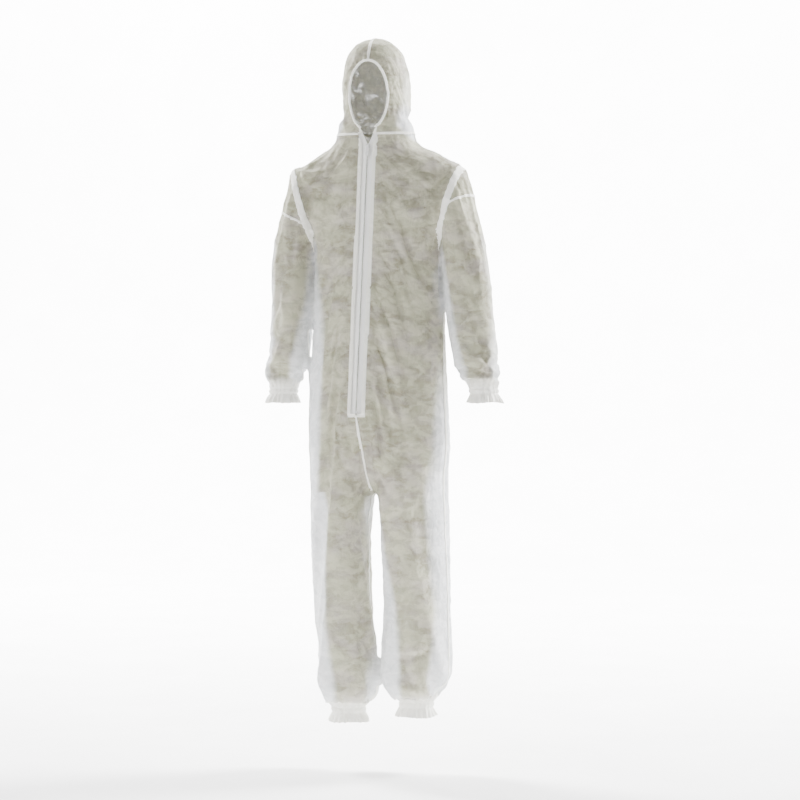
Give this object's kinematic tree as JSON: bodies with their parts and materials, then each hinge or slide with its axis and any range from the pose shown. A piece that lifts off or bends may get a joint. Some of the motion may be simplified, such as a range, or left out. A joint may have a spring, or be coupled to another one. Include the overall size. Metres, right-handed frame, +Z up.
{
  "type": "chemical protective suit",
  "caption": "Hooded protective coverall of thin nonwoven cloth, with an elasticated face opening, wrists and ankles and a front zip, shaped as it is worn.",
  "frame": {"origin": "middle of the neck, between the shoulders that carry the suit", "axes": "+Z up, front towards -Y, +X towards the wearer's left"},
  "size_m": [0.6147, 0.2981, 1.7459],
  "materials": {
    "cloth": "thin white nonwoven, one layer, translucent and cloudy",
    "double_cloth": "the same nonwoven folded double",
    "seam_thread": "overlocked seam, cloth edges bound with white thread",
    "elastic": "white knitted elastic",
    "zip_tape": "white woven polyester tape",
    "zip_nylon": "white nylon coil",
    "zip_lacquer": "white lacquered zinc"
  },
  "bodies": {
    "trunk": {"left_front_body": "cloth", "right_front_body": "cloth", "left_back_body": "cloth", "right_back_body": "cloth", "left_armhole_seam": "double_cloth", "right_armhole_seam": "double_cloth", "left_shoulder_seam": "seam_thread", "right_shoulder_seam": "seam_thread", "left_side_seam": "seam_thread", "right_side_seam": "seam_thread", "neck_seam": "double_cloth", "centre_back_seam": "seam_thread", "front_rise_seam": "seam_thread", "left_zip_tape": "zip_tape", "right_zip_tape": "zip_tape", "left_zip_coil": "zip_nylon", "right_zip_coil": "zip_nylon", "left_top_stop": "zip_lacquer", "right_top_stop": "zip_lacquer", "bottom_stop": "zip_lacquer"},
    "hood": {"hood_left": "cloth", "hood_right": "cloth", "hood_centre_seam": "seam_thread", "face_binding": "double_cloth", "face_elastic": "elastic"},
    "left_arm": {"left_upper_sleeve": "cloth", "left_sleeve": "cloth", "left_sleeve_joining_seam": "seam_thread", "left_underarm_seam": "seam_thread", "left_wrist_hem": "double_cloth", "left_wrist_elastic": "elastic"},
    "left_leg": {"left_front_leg": "cloth", "left_back_leg": "cloth", "left_inseam": "seam_thread", "left_leg_side_seam": "seam_thread", "left_ankle_hem": "double_cloth", "left_ankle_elastic": "elastic"},
    "right_arm": {"right_upper_sleeve": "cloth", "right_sleeve": "cloth", "right_sleeve_joining_seam": "seam_thread", "right_underarm_seam": "seam_thread", "right_wrist_hem": "double_cloth", "right_wrist_elastic": "elastic"},
    "right_leg": {"right_front_leg": "cloth", "right_back_leg": "cloth", "right_inseam": "seam_thread", "right_leg_side_seam": "seam_thread", "right_ankle_hem": "double_cloth", "right_ankle_elastic": "elastic"},
    "slider": {"zip_slider": "zip_lacquer"},
    "puller": {"zip_puller": "zip_lacquer"}
  },
  "joints": [
    {"name": "slider_travel", "type": "slide", "parent": "trunk", "child": "slider", "axis": [-0.0229, -0.0896, -0.9957], "range_m": [0, 0.655]},
    {"name": "puller_swing", "type": "hinge", "parent": "slider", "child": "puller", "pos_m": [-0.00811, -0.09334, -0.01467], "axis": [-0.9997, 0.001, 0.0229], "range_deg": [0, 165]},
    {"name": "hood_fold", "type": "hinge", "parent": "trunk", "child": "hood", "pos_m": [-0.008, 0.107, 0.039], "axis": [-1, 0, 0], "range_deg": [0, 95]},
    {"name": "left_shoulder", "type": "hinge", "parent": "trunk", "child": "left_arm", "pos_m": [0.226, 0, -0.07], "axis": [0, -1, 0], "range_deg": [0, 75]},
    {"name": "right_shoulder", "type": "hinge", "parent": "trunk", "child": "right_arm", "pos_m": [-0.226, 0, -0.07], "axis": [0, 1, 0], "range_deg": [0, 75]},
    {"name": "left_hip", "type": "hinge", "parent": "trunk", "child": "left_leg", "pos_m": [0.094, -0.124, -0.87], "axis": [-1, 0, 0], "range_deg": [0, 35]},
    {"name": "right_hip", "type": "hinge", "parent": "trunk", "child": "right_leg", "pos_m": [-0.097, -0.124, -0.87], "axis": [-1, 0, 0], "range_deg": [0, 35]}
  ]
}
